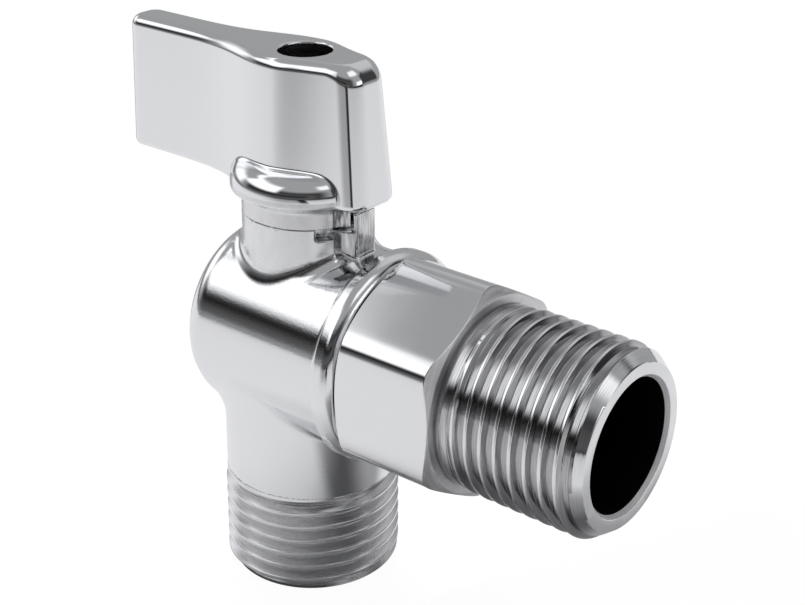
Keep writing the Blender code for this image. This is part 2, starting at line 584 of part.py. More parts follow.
def make_handle(parts, cutters, stem_axis):
    """The wing with its collar and skirt, its square socket, its screw well and its quarter-turn notch."""
    handle = make_handle_blank(parts, stem_axis)
    collar_round = min(COLLAR_ROUND, COLLAR_HEIGHT / 2)
    collar = [(0.0, COLLAR_TOP)]
    collar += arc((COLLAR_RADIUS - collar_round, COLLAR_TOP - collar_round), collar_round, 90, 0)
    collar += [(COLLAR_RADIUS, COLLAR_FOOT), (NECK_RADIUS, SKIRT_FOOT + SKIRT_STRAIGHT),
               (NECK_RADIUS, SKIRT_FOOT), (0.0, SKIRT_FOOT)]
    combine(handle, turned("handle_collar", collar, cutters, stem_axis), "UNION")

    inner = NECK_SPIGOT_RADIUS + RUNNING_GAP
    hollow = [(0.0, HANDLE_FOOT), (inner, HANDLE_FOOT), (inner, SKIRT_FOOT - CUT_MARGIN),
              (0.0, SKIRT_FOOT - CUT_MARGIN)]
    combine(handle, turned("skirt_hollow", hollow, cutters, stem_axis), "DIFFERENCE")

    reach = POST_REACH + CUT_MARGIN
    spread = math.asin(STOP_FACE / reach)
    sweep = QUARTER_TURN + 2 * spread
    notch = [(-STOP_FACE, -STOP_FACE)]
    for step in range(3 * ARC_STEPS + 1):
        angle = -spread + sweep * step / (3 * ARC_STEPS)
        notch.append((reach * math.cos(angle), reach * math.sin(angle)))
    notch_top = HANDLE_FOOT + SEATING_GAP / 2
    notch_cut = plate("stop_notch", notch, SKIRT_FOOT - CUT_MARGIN, notch_top, cutters, stem_axis)
    combine(handle, notch_cut, "DIFFERENCE")

    half = DRIVE_SIDE / 2 + SEATING_GAP
    socket = block("drive_socket", (-half, -half, SKIRT_FOOT), (half, half, SOCKET_TOP), cutters, stem_axis)
    combine(handle, socket, "DIFFERENCE")
    shank = SCREW_RADIUS + SEATING_GAP
    well = [(0.0, HANDLE_TOP + CUT_MARGIN), (WELL_RADIUS, HANDLE_TOP + CUT_MARGIN),
            (WELL_RADIUS, LEDGE_TOP), (shank, LEDGE_TOP), (shank, STEM_SHOULDER), (0.0, STEM_SHOULDER)]
    combine(handle, turned("screw_well", well, cutters, stem_axis, segments=SMALL_SEGMENTS), "DIFFERENCE")
    finish(handle, *CHROME)


def make_handle_screw(parts, cutters, stem_axis):
    """Cross-recessed screw that holds the handle on the stem, and its split washer."""
    head_top = SCREW_HEAD_FOOT + SCREW_HEAD_HEIGHT
    edge = SCREW_HEAD_WIDTH / 2
    profile = [(0.0, head_top), (SCREW_HEAD_RADIUS - edge, head_top), (SCREW_HEAD_RADIUS, head_top - edge),
               (SCREW_HEAD_RADIUS, SCREW_HEAD_FOOT), (SCREW_RADIUS, SCREW_HEAD_FOOT),
               (SCREW_RADIUS, SCREW_TIP), (0.0, SCREW_TIP)]
    screw = turned("handle_screw", profile, parts, stem_axis, segments=SMALL_SEGMENTS)
    for name, turn in (("screw_recess_a", 0.0), ("screw_recess_b", QUARTER_TURN)):
        bar = block(name, (-SCREW_RADIUS, -RECESS_WIDTH / 2, head_top - RECESS_DEPTH),
                    (SCREW_RADIUS, RECESS_WIDTH / 2, head_top + CUT_MARGIN), cutters, stem_axis)
        bar.rotation_euler = (0.0, 0.0, turn)
        combine(screw, bar, "DIFFERENCE")
    finish(screw, *STEEL)

    inner = SCREW_RADIUS + SEATING_GAP
    top = SPRING_WASHER_FOOT + SPRING_WASHER_THICKNESS
    ring = [(inner, top), (SCREW_HEAD_RADIUS, top), (SCREW_HEAD_RADIUS, SPRING_WASHER_FOOT),
            (inner, SPRING_WASHER_FOOT)]
    washer = turned("spring_washer", ring, parts, stem_axis, closed=True, segments=SMALL_SEGMENTS)
    half_split = SPRING_WASHER_SPLIT / 2
    split = block("spring_washer_split", (0.0, -half_split, SPRING_WASHER_FOOT - CUT_MARGIN),
                  (SCREW_HEAD_RADIUS + CUT_MARGIN, half_split, top + CUT_MARGIN), cutters, stem_axis)
    combine(washer, split, "DIFFERENCE")
    finish(washer, *STEEL)


def add_empty(name, collection):
    """An empty at the crossing of the inlet axis and the stem axis."""
    empty = bpy.data.objects.new(name, None)
    empty.location = CROSSING
    collection.objects.link(empty)
    return empty


def main():
    """Build the valve, piece by piece, from its body outwards."""
    for obj in list(bpy.data.objects):
        bpy.data.objects.remove(obj)
    parts = bpy.data.collections.new("angle_stop_valve")
    cutters = bpy.data.collections.new("cutters")
    for collection in (parts, cutters):
        bpy.context.scene.collection.children.link(collection)
    crossing = add_empty("crossing", parts)
    stem_axis = add_empty("stem_axis", parts)

    make_valve_body(parts, cutters, crossing)
    make_inlet_connector(parts, cutters, crossing)
    make_connector_seal(parts, crossing)
    make_seats(parts, crossing)
    make_ball(parts, cutters, stem_axis)
    make_stem(parts, cutters, stem_axis)
    make_stem_seals(parts, crossing, stem_axis)
    make_handle(parts, cutters, stem_axis)
    make_handle_screw(parts, cutters, stem_axis)

    for cutter in cutters.objects:
        cutter.hide_render = True
        cutter.display_type = "WIRE"


main()
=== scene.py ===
"""Looks of a quarter-turn angle stop valve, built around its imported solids.

Shapes are worked out in millimetres around the crossing of the inlet axis and the stem axis. They are put
into the model's frame, in metres, when their meshes are made.
"""

import logging
import math
from dataclasses import dataclass, replace
from enum import Enum, IntEnum
from functools import reduce
from typing import Any, Callable, Sequence

import bpy
import numpy as np
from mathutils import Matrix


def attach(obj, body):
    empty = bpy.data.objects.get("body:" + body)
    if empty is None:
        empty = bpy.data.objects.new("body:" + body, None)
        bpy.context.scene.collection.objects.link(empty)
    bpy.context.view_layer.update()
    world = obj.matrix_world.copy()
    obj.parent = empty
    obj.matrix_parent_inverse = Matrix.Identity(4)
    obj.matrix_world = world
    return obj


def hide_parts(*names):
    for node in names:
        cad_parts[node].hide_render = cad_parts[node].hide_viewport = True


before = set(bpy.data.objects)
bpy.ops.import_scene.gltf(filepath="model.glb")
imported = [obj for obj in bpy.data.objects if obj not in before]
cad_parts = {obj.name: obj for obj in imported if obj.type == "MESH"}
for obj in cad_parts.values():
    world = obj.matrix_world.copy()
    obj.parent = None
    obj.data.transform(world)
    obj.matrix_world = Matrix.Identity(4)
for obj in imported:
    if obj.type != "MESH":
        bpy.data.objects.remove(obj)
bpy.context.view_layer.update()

LOG = logging.getLogger("angle_stop_valve")
MM = 0.001
SPOTS_PER_MM = 1e4
CROSSING = np.array((-0.0437, 0.0, 0.0))
WHITE = (1.0, 1.0, 1.0, 1.0)
Array = np.ndarray
Field = Callable[[Array, Array, Array], Array]
Arrays = tuple[Array, Array, Array]
Amount = float | Array
Span = tuple[float, float]
Triple = tuple[float, float, float]


class Body(Enum):
    """The rigid bodies that the new pieces ride on."""

    FIXED = "body"
    LEVER = "lever"


class Slot(Enum):
    """Names of the record's material slots for the new pieces; nothing here reads them."""

    BODY = "body_chrome"
    CONNECTOR = "connector_chrome"
    HANDLE = "handle_chrome"


class Skin(IntEnum):
    """The finishes that a piece's faces can have."""

    PLATE = 0
    NECK = 1
    POST = 2
    BORE = 3
    GROOVE = 4
    LIP = 5
    CHAMFER = 6
    RING = 7
    WELL = 8
    SKIRT = 9
    LUG = 10


@dataclass
class Surface:
    """A closed surface in millimetres: its points, its faces, its outward normals and each face's skin."""

    points: Array
    faces: Array
    normals: Array
    skins: Array


def rounded_and(a: Array, b: Array, radius: Amount) -> Array:
    """Overlap of two fields, negative inside, with a quarter circle where their surfaces meet."""
    corner = np.hypot(np.maximum(a + radius, 0.0), np.maximum(b + radius, 0.0))
    return np.minimum(np.maximum(a, b), -radius) + corner


def filleted_or(a: Array, b: Array, radius: Amount) -> Array:
    """Union of two fields with a hollow fillet: the overlap of their outsides, turned inside out."""
    return -rounded_and(-a, -b, radius)


def rounded_cut(a: Array, b: Array, radius: Amount) -> Array:
    """The first field less the second one, with a rounded rim."""
    return rounded_and(a, -b, radius)


def sharp_and(*fields: Array) -> Array:
    """Overlap of fields, with sharp edges."""
    return reduce(np.maximum, fields)


def sharp_or(*fields: Array) -> Array:
    """Union of fields, with sharp edges."""
    return reduce(np.minimum, fields)


def ramp(value: Array, low: float, high: float) -> Array:
    """A smooth step from 0 at low to 1 at high: 3 t squared less 2 t cubed."""
    share = np.clip((value - low) / (high - low), 0.0, 1.0)
    return share * share * (3.0 - 2.0 * share)


def graded(low: float, high: float, coarse: float, fine: float, zones: Sequence[Span]) -> Array:
    """Grid lines over a range, close together in some zones: the running sum of one over the wanted step.

    Args:
        low: First line.
        high: Last line.
        coarse: Step outside the zones.
        fine: Step in the zones.
        zones: The zones, each a low and a high place.

    Returns:
        The places of the lines.
    """
    place = np.linspace(low, high, 4000)
    step = np.full(place.shape, coarse)
    for start, end in zones:
        step[(place >= start) & (place <= end)] = fine
    count = np.concatenate(([0.0], np.cumsum((place[1] - place[0]) / step[1:])))
    return np.interp(np.linspace(0.0, count[-1], math.ceil(count[-1]) + 1), count, place)


def slope(shape: Field, points: Array) -> Array:
    """How fast a field grows along each axis at some points, by central differences."""
    step = 0.01
    rise = np.empty_like(points)
    for axis in range(3):
        offset = np.zeros(3)
        offset[axis] = step
        rise[:, axis] = (shape(*(points + offset).T) - shape(*(points - offset).T)) / (2.0 * step)
    return rise


def net(shape: Field, lines: Arrays) -> Surface:
    """The zero surface of a field, as a net of quads over a grid of cells.

    A blend of several solids has no formula of two parameters, so it is met by a field. Each cell that the
    surface crosses gets one point, the mean of the crossings on its edges, which is then moved down the
    field's slope on to the surface. Four cells round a crossed grid edge make one quad. Normals are the
    slope.

    Args:
        shape: The field, negative inside.
        lines: Grid lines along X, Y and Z, which reach past the surface.

    Returns:
        The closed surface.
    """
    value = shape(*np.meshgrid(*lines, indexing="ij", sparse=True))
    inside = value < 0.0
    size = np.array(value.shape) - 1
    corners = np.array([(i, j, k) for i in (0, 1) for j in (0, 1) for k in (0, 1)])
    pairs = [(a, b) for a in range(8) for b in range(a) if abs(corners[a] - corners[b]).sum() == 1]
    first, last = np.array(pairs).T
    count = np.zeros(size, np.int8)
    for i, j, k in corners:
        count += inside[i : i + size[0], j : j + size[1], k : k + size[2]]
    active = (count > 0) & (count < 8)
    number = np.full(size, -1)
    number[active] = np.arange(active.sum())

    index = np.argwhere(active)[:, None, :] + corners
    spot = np.stack([lines[axis][index[..., axis]] for axis in range(3)], -1)
    level = value[index[..., 0], index[..., 1], index[..., 2]]
    crossed = (level[:, first] < 0.0) != (level[:, last] < 0.0)
    gap = np.where(crossed, level[:, first] - level[:, last], 1.0)
    share = np.where(crossed, level[:, first] / gap, 0.0)[..., None]
    meets = (spot[:, first] + share * (spot[:, last] - spot[:, first])) * crossed[..., None]
    points = meets.sum(1) / crossed.sum(1)[:, None]
    margin = 0.25 * (spot[:, -1] - spot[:, 0])
    for _ in range(5):
        rise = slope(shape, points)
        points = points - (shape(*points.T) / np.maximum((rise * rise).sum(1), 0.1))[:, None] * rise
        points = np.clip(points, spot[:, 0] - margin, spot[:, -1] + margin)

    faces = []
    for axis in range(3):
        across, along = (axis + 1) % 3, (axis + 2) % 3
        ahead = np.roll(inside, -1, axis)
        change = np.argwhere(inside != ahead)
        within = (change[:, axis] < size[axis]) & (change[:, [across, along]] > 0).all(1)
        change = change[within & (change[:, [across, along]] < size[[across, along]]).all(1)]
        ring = np.repeat(change[:, None, :], 4, 1)
        ring[:, (0, 3), across] -= 1
        ring[:, (0, 1), along] -= 1
        quads = number[ring[..., 0], ring[..., 1], ring[..., 2]]
        leaves = inside[change[:, 0], change[:, 1], change[:, 2]]
        faces.append(np.where(leaves[:, None], quads, quads[:, ::-1]))
    faces = np.concatenate(faces)
    rise = slope(shape, points)
    normals = rise / np.maximum(np.linalg.norm(rise, axis=1, keepdims=True), 1e-9)
    return Surface(points, faces, normals, np.full(len(faces), Skin.PLATE))


def grid_faces(rows: int, columns: int, loop: bool) -> Array:
    """Quads between neighbouring points of a grid whose columns close on themselves.

    Args:
        rows: Number of rows.
        columns: Points in each row.
        loop: Whether the last row joins the first.

    Returns:
        Four point numbers for each quad.
    """
    row = np.arange(rows if loop else rows - 1)[:, None]
    column = np.arange(columns)[None, :]
    below, beside = (row + 1) % rows, (column + 1) % columns
    steps = ((row, column), (row, beside), (below, beside), (below, column))
    corners = [along * columns + across for along, across in steps]
    return np.stack(np.broadcast_arrays(*corners), -1).reshape(-1, 4)


def turned(radius: Array, angle: Array, height: Array) -> Array:
    """Points at some radii, angles and heights about the third axis, row by row."""
    places = np.broadcast_arrays(radius * np.cos(angle), radius * np.sin(angle), height)
    return np.stack(places, -1).reshape(-1, 3)


def closed_surface(points: Array, faces: Array, skins: Array) -> Surface:
    """Weld points that fall together, drop empty triangles, face outwards and work out the normals.

    A point's normal is the sum of its triangles' normals times their areas, so that a broad flat keeps its
    direction beside a narrow round.

    Args:
        points: Places in millimetres.
        faces: Quads.
        skins: Skin of each quad.

    Returns:
        The closed surface, in triangles.
    """
    spots = np.round(points * SPOTS_PER_MM).astype(np.int64)
    _, kept, welded = np.unique(spots, axis=0, return_index=True, return_inverse=True)
    points = points[kept]
    triangles = welded.reshape(-1)[np.concatenate((faces[:, (0, 1, 2)], faces[:, (0, 2, 3)]))]
    skins = np.concatenate((skins, skins))
    a, b, c = triangles.T
    whole = (a != b) & (b != c) & (c != a)
    triangles, skins = triangles[whole], skins[whole]
    one, two, three = (points[triangles[:, corner]] for corner in range(3))
    if (one * np.cross(two, three)).sum() < 0.0:
        triangles = triangles[:, ::-1]
        two, three, one = two, one, three
    area = np.cross(two - one, three - one)
    weight = np.repeat(area, 3, 0)
    corners = triangles.ravel()
    normals = np.stack([np.bincount(corners, weight[:, axis], len(points)) for axis in range(3)], -1)
    normals /= np.maximum(np.linalg.norm(normals, axis=1, keepdims=True), 1e-12)
    return Surface(points, triangles, normals, skins)


def soft_corners(rows: Sequence[tuple[Amount, Amount, float]], steps: int = 3) -> Arrays:
    """A closed profile with its corners rounded, each by a parabola between points a set way from it.

    Args:
        rows: For each corner its places along and across the axis and the way that its round takes up.
        steps: Parts in each round.

    Returns:
        The rounded profile's places along and across, and the corner number of each of its rows.
    """
    places = np.broadcast_arrays(*(place for row in rows for place in row[:2]))
    corner = np.stack((places[::2], places[1::2]), -1)
    out, source = [], []
    for number, (_, _, reach) in enumerate(rows):
        here = corner[number]
        if reach == 0.0:
            out.append(here)
            source.append(number)
            continue
        ends = []
        for other in (corner[number - 1], corner[(number + 1) % len(rows)]):
            way = other - here
            length = np.linalg.norm(way, axis=-1, keepdims=True)
            ends.append(here + way * np.minimum(reach / np.maximum(length, 1e-9), 0.48))
        for share in np.linspace(0.0, 1.0, steps + 1):
            out.append((1 - share) ** 2 * ends[0] + 2 * share * (1 - share) * here + share**2 * ends[1])
            source.append(number)
    path = np.stack(out)
    return path[..., 0], path[..., 1], np.array(source)


@dataclass
class Wire:
    """A value in a node tree, with arithmetic that adds Math nodes."""

    board: "Board"
    socket: bpy.types.NodeSocket | None

    def math(self, operation: str, *values: Any) -> "Wire":
        """A Math node on some values: wires or numbers."""
        return self.board.node("ShaderNodeMath", {"operation": operation}, dict(enumerate(values)))

    def __add__(self, other: Any) -> "Wire":
        """Sum."""
        return self.math("ADD", self, other)

    __radd__ = __add__

    def __mul__(self, other: Any) -> "Wire":
        """Product."""
        return self.math("MULTIPLY", self, other)

    __rmul__ = __mul__

    def __sub__(self, other: Any) -> "Wire":
        """Difference."""
        return self.math("SUBTRACT", self, other)

    def __rsub__(self, other: Any) -> "Wire":
        """Difference from a number."""
        return self.math("SUBTRACT", other, self)

    def step(self, low: float, high: float) -> "Wire":
        """A smooth step from 0 at low to 1 at high. Low may be the greater of the two."""
        settings = {"interpolation_type": "SMOOTHSTEP"}
        inputs = {"Value": self, "From Min": low, "From Max": high}
        return self.board.node("ShaderNodeMapRange", settings, inputs)


class Board:
    """A node tree that nodes are laid out on."""

    def __init__(self, tree: bpy.types.NodeTree) -> None:
        """Start from an empty tree."""
        self.tree = tree
        tree.nodes.clear()

    def node(self, kind: str, settings: dict[str, Any], inputs: dict[Any, Any], output: Any = 0) -> Wire:
        """Add a node.

        Args:
            kind: The node's type.
            settings: Its settings, set before its sockets.
            inputs: Values or wires for its sockets, by name or number.
            output: The output that is returned.

        Returns:
            The node's output as a wire.
        """
        made = self.tree.nodes.new(kind)
        for name, value in settings.items():
            setattr(made, name, value)
        for name, value in inputs.items():
            if isinstance(value, Wire):
                self.tree.links.new(value.socket, made.inputs[name])
            else:
                made.inputs[name].default_value = value
        return Wire(self, made.outputs[output] if made.outputs else None)

    def noise(self, place: Wire, scale: float, detail: float) -> Wire:
        """A noise over some places."""
        return self.node("ShaderNodeTexNoise", {}, {"Vector": place, "Scale": scale, "Detail": detail})

    def tint(self, share: Any, low: Triple, high: Triple) -> Wire:
        """A colour between two others, by the share of the second."""
        inputs = {"Factor": share, 6: (*low, 1.0), 7: (*high, 1.0)}
        return self.node("ShaderNodeMix", {"data_type": "RGBA"}, inputs, 2)


def blank_material(name: str) -> tuple[bpy.types.Material, Board]:
    """A new material and the board of its empty tree."""
    made = bpy.data.materials.new(name)
    made.use_nodes = True
    return made, Board(made.node_tree)


def add(name: str, data: bpy.types.ID) -> bpy.types.Object:
    """A new object in the scene."""
    made = bpy.data.objects.new(name, data)
    bpy.context.scene.collection.objects.link(made)
    return made


@dataclass(frozen=True)
class Metal:
    """A metal finish: plating or bare metal, with faint waves, uneven polish and, if turned, tool lines."""

    color: Triple
    roughness: float
    uneven: float = 0.012
    tone: float = 0.985
    wave_scale: float = 150.0
    wave_height: float = 0.012
    line_scale: float = 1400.0
    line_height: float = 0.0004
    stretch: Triple = (1.0, 1.0, 1.0)
    tint_span: Span = (0.35, 0.65)
    polish_span: Span = (0.3, 0.75)

    def material(self, name: str) -> bpy.types.Material:
        """The finish as a material: two noises over the piece move its polish, its tint and its normal.

        Args:
            name: The material's name.

        Returns:
            The material. Its tool lines run across the axis that the stretch keeps at 1.
        """
        made, board = blank_material(name)
        place = board.node("ShaderNodeTexCoord", {}, {}, "Object")
        waves = board.noise(place, self.wave_scale, 1.0)
        along = board.node("ShaderNodeVectorMath", {"operation": "MULTIPLY"}, {0: place, 1: self.stretch})
        lines = board.noise(along, self.line_scale, 3.0)
        dark = tuple(self.tone * part for part in self.color)
        tint = board.tint(lines.step(*self.tint_span), dark, self.color)
        inputs = {"Strength": self.wave_height, "Distance": MM, "Height": waves}
        wavy = board.node("ShaderNodeBump", {}, inputs)
        inputs = {"Strength": self.line_height, "Distance": MM, "Height": lines, "Normal": wavy}
        lined = board.node("ShaderNodeBump", {}, inputs)
        polish = lines.step(*self.polish_span) * self.uneven + self.roughness
        inputs = {"Base Color": tint, "Metallic": 1.0, "Roughness": polish, "Normal": lined}
        shader = board.node("ShaderNodeBsdfPrincipled", {}, inputs)
        board.node("ShaderNodeOutputMaterial", {}, {"Surface": shader})
        return made


@dataclass(frozen=True)
class Matter:
    """A finish that is no metal: moulded plastic or rubber, with a fine grain."""

    color: Triple
    roughness: float
    grain_scale: float = 3000.0
    grain_height: float = 0.1
    grain_span: Span = (0.3, 0.7)
    tone: float = 0.8
    uneven: float = 0.1

    def material(self, name: str) -> bpy.types.Material:
        """The finish as a material: a noise over the piece moves its tone, its gloss and its normal."""
        made, board = blank_material(name)
        place = board.node("ShaderNodeTexCoord", {}, {}, "Object")
        grain = board.noise(place, self.grain_scale, 4.0)
        dark = tuple(self.tone * part for part in self.color)
        tint = board.tint(grain.step(*self.grain_span), dark, self.color)
        inputs = {"Strength": self.grain_height, "Distance": 0.5 * MM, "Height": grain}
        bump = board.node("ShaderNodeBump", {}, inputs)
        inputs = {"Base Color": tint, "Roughness": grain * self.uneven + self.roughness, "Normal": bump}
        shader = board.node("ShaderNodeBsdfPrincipled", {}, inputs)
        board.node("ShaderNodeOutputMaterial", {}, {"Surface": shader})
        return made


CHROME_TINT = (0.86, 0.865, 0.88)
ALONG_X = (1.0, 0.03, 0.03)
ALONG_Z = (0.03, 0.03, 1.0)
CHROME = Metal(CHROME_TINT, 0.03, line_scale=4500.0, line_height=0.0018)
SATIN_CHROME = Metal(
    (0.84, 0.845, 0.86), 0.2, 0.08, 0.93, line_scale=1200.0, line_height=0.006, stretch=(1.0, 1.0, 0.5)
)
CREST = Metal(CHROME_TINT, 0.03, 0.04, 0.78, line_scale=7000.0, line_height=0.012)
# Painted shade: thread grooves, and the connector's ring, are coloured darker than the crests for the shade
# in them; they are also a little rougher.
GROOVE = Metal((0.66, 0.66, 0.675), 0.05, 0.09, 0.6, line_scale=7000.0, line_height=0.02)
ROUGH_CHROME = Metal(
    (0.88, 0.88, 0.89), 0.62, 0.15, 0.85, line_scale=5000.0, line_height=0.008, stretch=(1.0, 0.06, 0.06)
)
CAST_CHROME = Metal(
    (0.82, 0.825, 0.84), 0.12, 0.2, 0.35, line_scale=2600.0, line_height=0.03, stretch=(1.0, 1.0, 0.15)
)
# Painted shade: the bores inside the sleeves and the connector are coloured near black for the deep shade in
# them.
BORE_SHADE = Metal((0.02, 0.02, 0.021), 0.45)
# Painted shade: the screw well's inside is coloured a darker grey for the shade in it.
WELL = Metal((0.3, 0.3, 0.31), 0.3, tone=0.6, line_scale=6000.0, line_height=0.003, stretch=ALONG_Z)
BRASS = Metal((0.72, 0.55, 0.28), 0.28)
STEEL = Metal((0.55, 0.55, 0.56), 0.28)
PLASTIC = Matter((0.86, 0.86, 0.84), 0.4)
RUBBER = Matter((0.02, 0.02, 0.02), 0.6)


def add_piece(
    name: str, surface: Surface, finishes: dict[Skin, bpy.types.Material], body: Body, node: str
) -> None:
    """Put a surface into the scene, in metres in the model's frame, on a body and in place of a node.

    Args:
        name: The piece's name.
        surface: Its shape.
        finishes: The material of each of its skins.
        body: The body that it rides on.
        node: The node that it replaces.
    """
    mesh = bpy.data.meshes.new(name)
    places = surface.points * MM + CROSSING
    corners = surface.faces.shape[1]
    mesh.vertices.add(len(places))
    mesh.vertices.foreach_set("co", places.ravel())
    mesh.loops.add(surface.faces.size)
    mesh.loops.foreach_set("vertex_index", surface.faces.ravel().astype(np.int32))
    mesh.polygons.add(len(surface.faces))
    mesh.polygons.foreach_set("loop_start", np.arange(0, surface.faces.size, corners, dtype=np.int32))
    slots = np.zeros(len(Skin), np.int32)
    slots[list(finishes)] = np.arange(len(finishes))
    mesh.polygons.foreach_set("material_index", slots[surface.skins])
    mesh.polygons.foreach_set("use_smooth", np.ones(len(surface.faces), bool))
    mesh.update(calc_edges=True)
    mesh.normals_split_custom_set_from_vertices(surface.normals.tolist())
    for finish in finishes.values():
        mesh.materials.append(finish)
    piece = add(name, mesh)
    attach(piece, body.value)
    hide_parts(node)
    LOG.info("%s rides on %s for %s: %d faces", name, body.value, node, len(surface.faces))


@dataclass
class ForgedBody:
    """The forged body: barrel with a bead at its mouth, outlet shank, stem neck and stop post."""

    barrel_radius: float = 11.5
    rear_end: float = 10.5
    rear_round: float = 3.6
    mouth_face: float = 13.5
    mouth_round: float = 1.3
    seal_ledge: float = 12.3
    seal_bore: float = 10.5
    bead_radius: float = 12.4
    bead_back: float = 10.9
    bead_round: float = 0.45
    bead_fillet: float = 0.6
    shank_radius: float = 10.278
    shank_end: float = -17.43
    shank_fillet: float = 3.0
    shank_edge: float = 0.06
    fillet_least: float = 0.05
    fillet_loss: float = 0.85
    fillet_span: Span = (0.0, 9.0)
    neck_radius: float = 7.53
    neck_shoulder: float = 15.14
    neck_fillet: float = 1.5
    neck_loss: float = 0.8
    neck_edge: float = 0.02
    spigot_radius: float = 6.2
    spigot_top: float = 17.2
    relief_floor: float = 13.8
    relief_angle: float = math.radians(42)
    relief_rim: float = 0.15
    floor_round: float = 0.2
    wall_round: float = 0.1
    post_half: float = 1.65
    post_reach: float = 8.7
    post_top: float = 16.9
    post_taper: float = 0.3
    taper_span: Span = (14.4, 15.0)
    post_root: float = 5.0
    post_round: float = 0.4
    post_edge: float = 0.3
    spigot_edge: float = 0.2
    slot_angle: float = math.radians(25)
    slot_floor: float = 11.3
    slot_rim: float = 0.12
    chamber_radius: float = 8.4
    chamber_end: float = 9.2
    mouth_floor: float = 8.9
    mouth_radius: float = 9.5
    port_radius: float = 4.3
    port_end: float = -14.43
    bore_radius: float = 7.2
    bore_start: float = -17.33
    stem_bore: float = 4.3
    recess_radius: float = 5.6
    recess_top: float = 10.8
    mouth_rim: float = 0.15
    face_zone: float = 0.1
    side_zone: float = 0.04
    neck_foot: float = 5.0
    post_zone: float = 2.5
    cast_half: float = 2.3
    cast_start: float = 4.6
    coarse: float = 0.33
    fine: float = 0.15

    def outside(self, x: Array, y: Array, z: Array) -> Array:
        """Field of the outer form: turned solids, blended where the forging runs them together.

        A fillet shrinks where the two faces turn the same way, by one less the product of their directions.
        """
        ring, plan = np.hypot(y, z), np.hypot(x, y)
        back = np.maximum(self.rear_round - self.rear_end - x, 0.0)
        round_about = np.maximum(ring - self.barrel_radius + self.rear_round, 1e-3)
        facing = round_about * y * y / np.maximum(ring, 1e-6) - back * x
        alike = np.clip(facing / np.maximum(plan * np.hypot(back, round_about), 1e-6), 0.0, 1.0)
        rear = rounded_and(ring - self.barrel_radius, -self.rear_end - x, self.rear_round)
        bead = rounded_and(ring - self.bead_radius, self.bead_back - x, self.bead_round)
        barrel = filleted_or(rear, bead, self.bead_fillet)
        barrel = rounded_and(barrel, x - self.mouth_face, self.mouth_round)
        shank = rounded_and(plan - self.shank_radius, self.shank_end - z, self.shank_edge)
        blend = self.shank_fillet * (1.0 - alike) * (1.0 - self.fillet_loss * ramp(x, *self.fillet_span))
        form = filleted_or(barrel, sharp_and(shank, z), blend + self.fillet_least)
        neck = rounded_and(plan - self.neck_radius, z - self.neck_shoulder, self.neck_edge)
        neck = sharp_and(neck, -z)
        neck = rounded_cut(neck, self.notch(x, y, z, self.relief_angle, self.relief_floor), self.relief_rim)
        neck = rounded_cut(neck, self.notch(x, y, z, self.slot_angle, self.slot_floor), self.slot_rim)
        form = filleted_or(form, neck, self.neck_fillet * np.sqrt(1.0 - self.neck_loss * alike))
        spigot = rounded_and(plan - self.spigot_radius, z - self.spigot_top, self.spigot_edge)
        form = sharp_or(form, sharp_and(spigot, -z))
        half = self.post_half + self.post_taper * (self.post_reach - x) * (1.0 - ramp(z, *self.taper_span))
        post = rounded_and(x - self.post_reach, np.abs(y) - half, self.post_round)
        post = rounded_and(post, z - self.post_top, self.post_edge)
        return filleted_or(form, sharp_and(post, self.post_root - x, -z), self.post_edge)

    def notch(self, x: Array, y: Array, z: Array, angle: float, floor: float) -> Array:
        """Field of a notch round the spigot: a wedge about X, with half its angle given, over a floor."""
        opening = rounded_and(np.abs(y) * math.cos(angle) - x * math.sin(angle), floor - z, self.floor_round)
        return rounded_and(opening, self.spigot_radius - np.hypot(x, y), self.wall_round)

    def hollow(self, x: Array, y: Array, z: Array) -> Array:
        """Field of the space inside: ball chamber, mouth, outlet way and stem bore."""
        ring, plan = np.hypot(y, z), np.hypot(x, y)
        chamber = sharp_and(ring - self.chamber_radius, -self.chamber_end - x, x - self.mouth_face)
        mouth = sharp_and(ring - self.mouth_radius, self.mouth_floor - x)
        ledge = sharp_and(ring - self.seal_bore, self.seal_ledge - x)
        share = np.clip((z - self.port_end) / (self.bore_start - self.port_end), 0.0, 1.0)
        way = sharp_and(plan - self.port_radius - share * (self.bore_radius - self.port_radius), z)
        stem = sharp_and(plan - self.stem_bore, -z)
        recess = sharp_and(plan - self.recess_radius, z - self.recess_top, -z)
        return sharp_or(chamber, mouth, ledge, way, stem, recess)

    def shape(self, x: Array, y: Array, z: Array) -> Array:
        """Field of the body: its outer form less the space inside, with narrow rounds at the mouths."""
        return rounded_cut(self.outside(x, y, z), self.hollow(x, y, z), self.mouth_rim)

    def build(self) -> None:
        """Make the body's mesh and dress it."""
        lines = (
            graded(-11.2, 14.2, self.coarse, self.fine, [(5.0, 9.2), (10.4, 14.0)]),
            graded(-13.0, 13.0, self.coarse, self.fine, [(-2.2, 2.2)]),
            graded(-18.0, 18.0, self.coarse, self.fine, [(-17.6, -17.2), (13.2, 17.4)]),
        )
        surface = net(self.shape, lines)
        x, y, z = surface.points[surface.faces].mean(1).T
        plan = np.hypot(x, y)
        beside = np.abs(y)
        above = (z > self.barrel_radius + self.face_zone) & (x < self.post_reach + self.face_zone)
        on_neck = above & ((plan < self.neck_radius + self.face_zone) | (beside < self.post_zone))
        on_neck |= (z > self.neck_foot) & (np.abs(plan - self.neck_radius) < self.side_zone)
        cast = (z > self.slot_floor - self.floor_round) & (x > self.cast_start)
        cast &= (plan < self.neck_radius - self.face_zone) | (beside < self.cast_half)
        surface.skins = np.select([on_neck & cast, on_neck], [Skin.POST, Skin.NECK], Skin.PLATE)
        finishes = {
            Skin.PLATE: replace(CHROME, line_height=0.016).material("body_plate"),
            Skin.NECK: SATIN_CHROME.material("neck_plate"),
            Skin.POST: replace(CAST_CHROME, tone=0.55).material("post_plate"),
        }
        add_piece("forged_body", surface, finishes, Body.FIXED, "valve_body")


